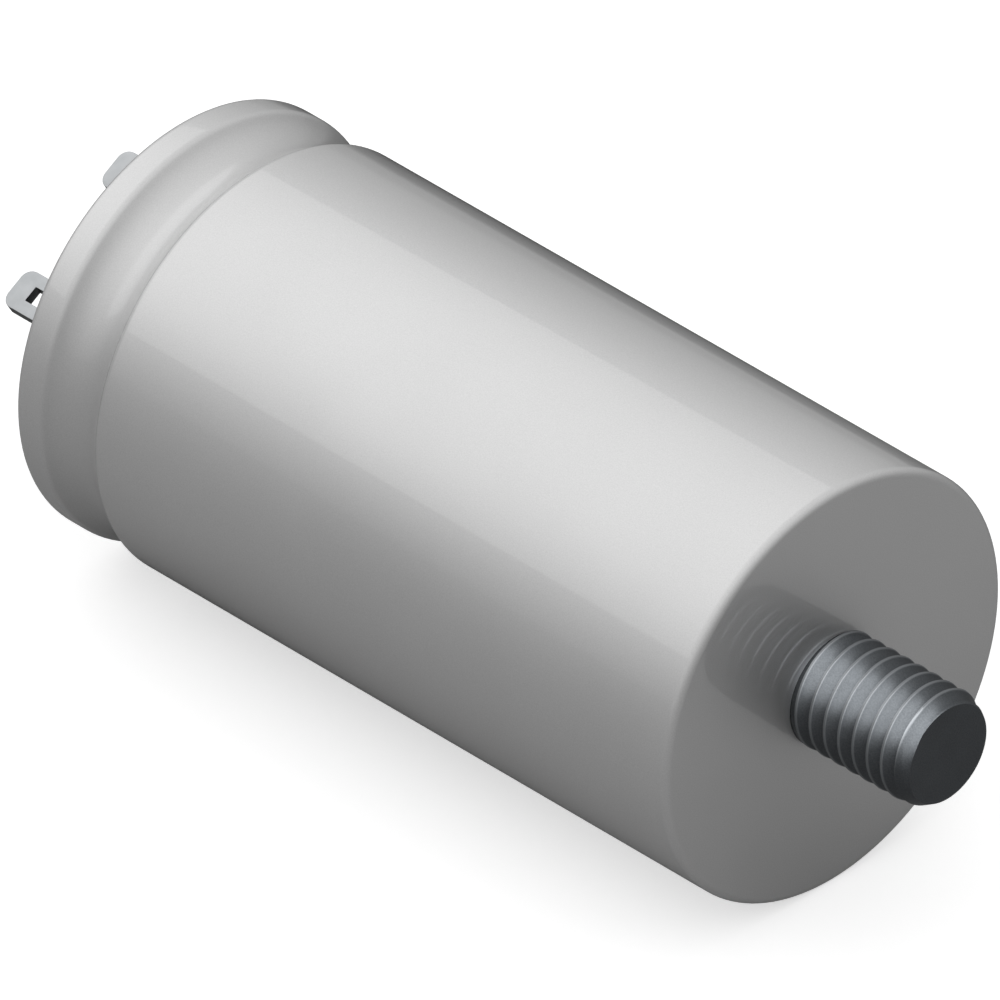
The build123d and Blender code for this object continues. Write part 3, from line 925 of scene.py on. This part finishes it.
def studio_light():
    """Dim even room with one soft light from -Y, and one long panel over the terminal end."""
    world = bpy.data.worlds.new("studio")
    bpy.context.scene.world = world
    world.use_nodes = True
    tree = world.node_tree
    direction = add_node(tree, "ShaderNodeTexCoord").outputs["Generated"]
    parts = add_node(tree, "ShaderNodeSeparateXYZ", None, {0: direction})
    total = add_node(tree, "ShaderNodeMapRange", None, {
        "Value": parts.outputs["Z"], "To Min": ROOM_AT_HORIZON, "To Max": ROOM_OVERHEAD,
    }).outputs[0]
    facing = add_node(tree, "ShaderNodeVectorMath", {"operation": "DOT_PRODUCT"}, {
        0: direction, 1: aimed(SOFT_AZIMUTH, SOFT_HEIGHT),
    })
    light = add_node(tree, "ShaderNodeMapRange", {"interpolation_type": "SMOOTHSTEP"}, {
        "Value": facing.outputs["Value"], "From Min": cos(radians(SOFT_ENDS_AT)),
        "From Max": cos(radians(SOFT_FULL_WITHIN)), "To Max": SOFT_STRENGTH,
    })
    total = add_node(tree, "ShaderNodeMath", {"operation": "ADD"}, {
        0: total, 1: light.outputs[0],
    }).outputs[0]
    across = add_node(tree, "ShaderNodeMath", {"operation": "ARCTAN2"}, {
        0: parts.outputs["Y"], 1: parts.outputs["Z"],
    })
    panel = PANEL_STRENGTH
    for value, (low, high) in (
        (across.outputs[0], PANEL_ACROSS), (parts.outputs["X"], PANEL_ALONG),
    ):
        middle, half = (low + high) / 2, (high - low) / 2
        inside = add_node(tree, "ShaderNodeMath", {"operation": "COMPARE"}, {
            0: value, 1: middle, 2: half,
        })
        panel = add_node(
            tree, "ShaderNodeMath", {"operation": "MULTIPLY"}, {0: panel, 1: inside.outputs[0]}
        ).outputs[0]
    total = add_node(tree, "ShaderNodeMath", {"operation": "ADD"}, {0: total, 1: panel}).outputs[0]
    background = tree.nodes["Background"]
    background.inputs["Color"].default_value = (1, 1, 1, 1)
    tree.links.new(total, background.inputs["Strength"])


def stud_lamp(stud):
    """Large soft lamp in front of the stud. It lights the stud alone, so the can stays even."""
    data = bpy.data.lights.new("stud_lamp", "AREA")
    data.shape = "DISK"
    data.size = 2 * LAMP_DISTANCE * tan(radians(LAMP_HALF_ANGLE))
    data.energy = LAMP_STRENGTH * pi * pi * (data.size / 2)**2
    lamp = bpy.data.objects.new("stud_lamp", data)
    bpy.context.collection.objects.link(lamp)
    aim = aimed(LAMP_AZIMUTH, LAMP_HEIGHT)
    lamp.location = aim * LAMP_DISTANCE
    lamp.rotation_mode = "QUATERNION"
    lamp.rotation_quaternion = aim.to_track_quat("Z", "Y")
    lit = bpy.data.collections.new("lit_by_stud_lamp")
    lit.objects.link(stud)
    lamp.light_linking.receiver_collection = lit


def make_room():
    """Studio light, pale floor, and the card that only the metal sees."""
    studio_light()
    bpy.ops.object.select_all(action="DESELECT")
    bpy.ops.mesh.primitive_plane_add(size=FLOOR_SIZE, location=(0, 0, can_low.z))
    floor = bpy.context.object
    floor.name = "floor"
    floor.data.materials.append(white_paper())
    bpy.ops.object.select_all(action="DESELECT")
    bpy.ops.mesh.primitive_plane_add(size=FLOOR_SIZE, location=(0, 0, can_low.z + CARD_LIFT))
    card = bpy.context.object
    card.name = "grey_card"
    card.visible_camera = card.visible_diffuse = False
    card.visible_shadow = card.visible_transmission = False
    card.data.materials.append(grey_card())


finishes = {
    "can": drawn_aluminium(),
    "stud": blued_steel(),
    "lid": moulded_polyester(),
    "seal": pressed_rubber(),
    "terminal": tin_plated_brass(),
    "lead": tinned_copper_wire(),
    "insulation": natural_polypropylene(),
    "film": metallised_film(),
    "wrap": clear_wrap_film(),
    "zinc": sprayed_zinc(),
    "resin": potting_resin(),
}
finishes["rivet"] = finishes["terminal"]
for part in frame["record"]["subparts"]:
    node = frame["nodes"][part["node"]]
    node.data.materials.clear()
    node.data.materials.append(finishes[part["material_slot"]])

dress(aluminium_can(), "can_shell", finishes["can"])
stud = threaded_stud()
dress(stud, "mounting_stud", finishes["stud"])
dress(moulded_deck(), "terminal_deck", finishes["lid"])
strip = folded_terminal()
edge_metal = sheared_edge()
for name, turn in (("right", TERMINAL_TURN), ("left", TERMINAL_TURN + pi)):
    terminal = seat_on_deck(strip, "blade_" + name, turn)
    dress(terminal, "terminal_" + name, finishes["terminal"])
    bare_edges(terminal, turn, edge_metal)
bpy.data.objects.remove(strip)

make_camera()
make_room()
stud_lamp(stud)
bpy.context.scene.view_settings.view_transform = "Standard"
